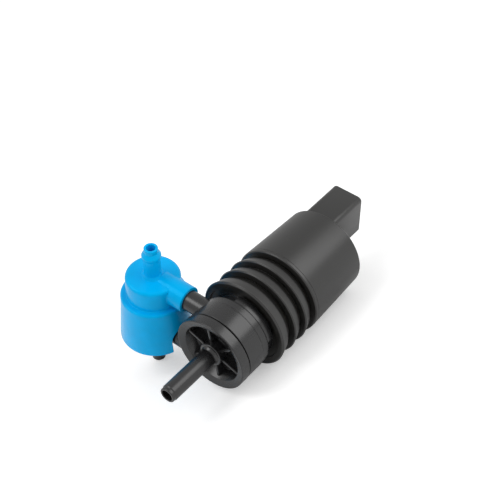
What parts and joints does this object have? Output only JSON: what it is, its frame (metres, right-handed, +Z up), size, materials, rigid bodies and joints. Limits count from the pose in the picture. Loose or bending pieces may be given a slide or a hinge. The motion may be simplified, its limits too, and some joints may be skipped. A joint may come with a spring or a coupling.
{
  "type": "windshield washer pump",
  "caption": "Electric windshield washer pump with an axial inlet spigot, ribbed motor housing, plug socket and a twin-outlet valve.",
  "frame": {"origin": "on the pump axis where the inlet spigot leaves the hub of the inlet cover", "axes": "+Y along the pump axis from the inlet spigot to the plug socket, +Z up with the pump lying on its housing and lower nipple"},
  "size_m": [0.07, 0.11, 0.0555],
  "materials": {
    "black_plastic": "satin black moulded plastic",
    "housing_plastic": "fine-textured black moulded plastic",
    "blue_plastic": "glossy blue moulded plastic",
    "white_plastic": "natural moulded plastic",
    "brown_plastic": "phenolic",
    "black_rubber": "smooth rubber",
    "steel": "bright drawn steel",
    "lamination_steel": "stacked sheet edges",
    "bronze": "sintered or rolled bronze",
    "copper": "copper",
    "tinned_brass": "tin-plated",
    "ferrite": "sintered ferrite",
    "carbon": "carbon"
  },
  "bodies": {
    "pump": {"inlet_cover": "black_plastic", "cover_seal": "black_rubber", "pump_head": "black_plastic", "collar_seal": "black_rubber", "upper_stub_seal": "black_rubber", "lower_stub_seal": "black_rubber", "shaft_seal": "black_rubber", "motor_housing": "housing_plastic", "motor_can": "steel", "front_bearing": "bronze", "rear_bearing": "bronze", "magnet_left": "ferrite", "magnet_right": "ferrite", "end_plate": "brown_plastic", "brush_upper": "carbon", "brush_lower": "carbon", "brush_arm_upper": "bronze", "brush_arm_lower": "bronze", "terminal_upper": "tinned_brass", "terminal_lower": "tinned_brass", "valve_cap": "blue_plastic", "valve_base": "black_plastic", "valve_diaphragm": "black_rubber"},
    "rotor": {"shaft": "steel", "impeller": "white_plastic", "armature_core": "lamination_steel", "windings": "copper", "commutator_hub": "brown_plastic", "commutator_bars": "copper"}
  },
  "joints": [
    {"name": "rotor_spin", "type": "hinge", "parent": "pump", "child": "rotor", "pos_m": [0, 0.03, 0], "axis": [0, 1, 0], "continuous": true}
  ]
}
